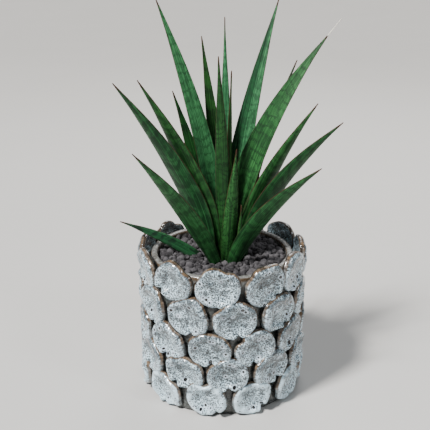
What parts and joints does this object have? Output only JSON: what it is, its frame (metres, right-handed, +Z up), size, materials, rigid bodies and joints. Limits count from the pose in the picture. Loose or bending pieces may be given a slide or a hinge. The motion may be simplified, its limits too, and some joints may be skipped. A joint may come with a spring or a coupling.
{
  "type": "potted snake plant",
  "caption": "Snake plant with stiff, channelled, banded leaves growing out of dark soil in a round glazed pot clad with overlapping clay scales.",
  "frame": {"origin": "centre of the pot's flat underside", "axes": "+Z up along the pot's axis towards the leaf tips, -Y towards the side that the plant is seen from, +X to that viewer's right"},
  "size_m": [0.21, 0.1705, 0.3825],
  "materials": {
    "glazed_stoneware": "speckled grey-white gloss glaze on stoneware, brown where it breaks over edges",
    "soil": "matte crumbly potting soil",
    "rhizome": "matte pale plant flesh",
    "leaf": "satin succulent leaf with darker cross bands"
  },
  "bodies": {
    "root": {"pot": "glazed_stoneware", "soil": "soil", "rhizome": "rhizome", "leaf_01": "leaf", "leaf_02": "leaf", "leaf_03": "leaf", "leaf_04": "leaf", "leaf_05": "leaf", "leaf_06": "leaf", "leaf_07": "leaf", "leaf_08": "leaf", "leaf_09": "leaf", "leaf_10": "leaf", "leaf_11": "leaf", "leaf_12": "leaf", "leaf_13": "leaf", "leaf_14": "leaf", "leaf_15": "leaf", "leaf_16": "leaf", "leaf_17": "leaf", "leaf_18": "leaf", "leaf_19": "leaf"}
  },
  "joints": []
}
